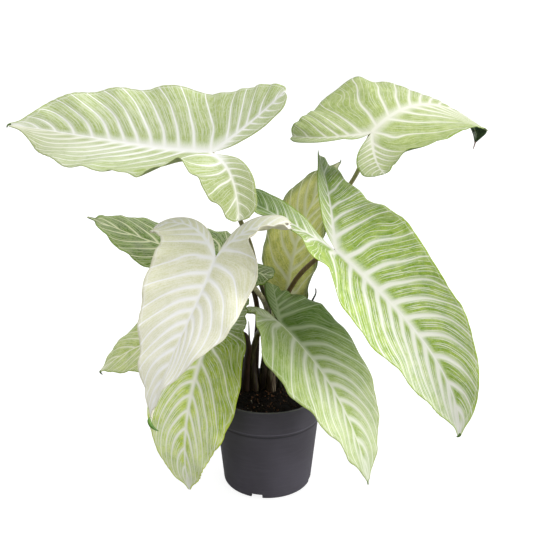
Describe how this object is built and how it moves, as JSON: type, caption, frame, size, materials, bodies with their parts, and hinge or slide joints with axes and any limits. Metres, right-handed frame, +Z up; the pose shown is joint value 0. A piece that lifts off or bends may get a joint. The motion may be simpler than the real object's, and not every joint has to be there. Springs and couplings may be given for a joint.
{
  "type": "potted xanthosoma lindenii",
  "caption": "Foliage plant with broad, pale-veined, arrow-shaped leaves on long stalks, rooted in soil in a round, tapered nursery pot that stands on its flat foot.",
  "frame": {"origin": "centre of the pot's foot, on the face it stands on", "axes": "+Z up from the pot's foot, -Y towards the side that faces the viewer"},
  "size_m": [0.5955, 0.3301, 0.5094],
  "materials": {
    "leaf_top_left": "satin leaf, pale veins",
    "leaf_top_right": "satin leaf, pale veins",
    "leaf_right": "satin leaf, pale veins",
    "leaf_front_white": "satin leaf, pale veins",
    "leaf_front_left": "satin leaf, pale veins",
    "leaf_front_right": "satin leaf, pale veins",
    "leaf_upright": "satin leaf, pale veins",
    "leaf_back_left": "satin leaf, pale veins",
    "leaf_low_left": "satin leaf, pale veins",
    "stalk_top_left": "satin stalk",
    "stalk_top_right": "satin stalk",
    "stalk_right": "satin stalk",
    "stalk_front_white": "satin stalk",
    "stalk_front_left": "satin stalk",
    "stalk_front_right": "satin stalk",
    "stalk_upright": "satin stalk",
    "stalk_back_left": "satin stalk",
    "stalk_low_left": "satin stalk",
    "leaf_rolled": "satin leaf",
    "spear": "satin leaf",
    "sheath_dry": "dry, matte",
    "pot": "moulded, matte",
    "soil": "loose, matte"
  },
  "bodies": {
    "root": {"leaf_top_left": "leaf_top_left", "leaf_top_right": "leaf_top_right", "leaf_right": "leaf_right", "leaf_front_white": "leaf_front_white", "leaf_front_left": "leaf_front_left", "leaf_front_right": "leaf_front_right", "leaf_upright": "leaf_upright", "leaf_back_left": "leaf_back_left", "leaf_low_left": "leaf_low_left", "stalk_top_left": "stalk_top_left", "stalk_top_right": "stalk_top_right", "stalk_right": "stalk_right", "stalk_front_white": "stalk_front_white", "stalk_front_left": "stalk_front_left", "stalk_front_right": "stalk_front_right", "stalk_upright": "stalk_upright", "stalk_back_left": "stalk_back_left", "stalk_low_left": "stalk_low_left", "leaf_rolled": "leaf_rolled", "spear": "spear", "sheath_dry": "sheath_dry", "pot": "pot", "soil": "soil"}
  },
  "joints": []
}
